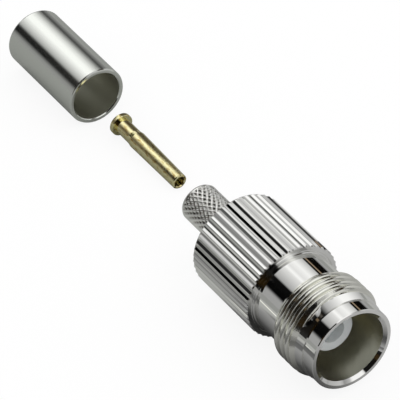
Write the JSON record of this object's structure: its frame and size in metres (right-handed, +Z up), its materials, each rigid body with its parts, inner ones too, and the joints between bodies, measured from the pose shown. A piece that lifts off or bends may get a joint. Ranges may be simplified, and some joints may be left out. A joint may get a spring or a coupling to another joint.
{
  "type": "threaded coaxial crimp jack",
  "caption": "Threaded coaxial cable jack with fluted grip and knurled crimp stem, shown with its loose slotted centre contact and plain crimp ferrule.",
  "frame": {"origin": "bottom centre of the set's bounding box, on the surface that the three loose parts lie on, below the axis of the jack", "axes": "+X along the jack's axis towards its mouth, +Z up, +Y to the left as seen looking out of the mouth"},
  "size_m": [0.0656, 0.0114, 0.0113],
  "materials": {
    "polished_nickel": "mirror-polished nickel plate",
    "satin_nickel": "bright nickel plate",
    "ptfe": "translucent white",
    "gold": "polished gold plate",
    "ferrule_nickel": "satin nickel plate"
  },
  "bodies": {
    "root": {"front_shell": "polished_nickel", "grip_body": "satin_nickel", "insulator": "ptfe", "centre_contact": "gold", "crimp_ferrule": "ferrule_nickel"}
  },
  "joints": []
}
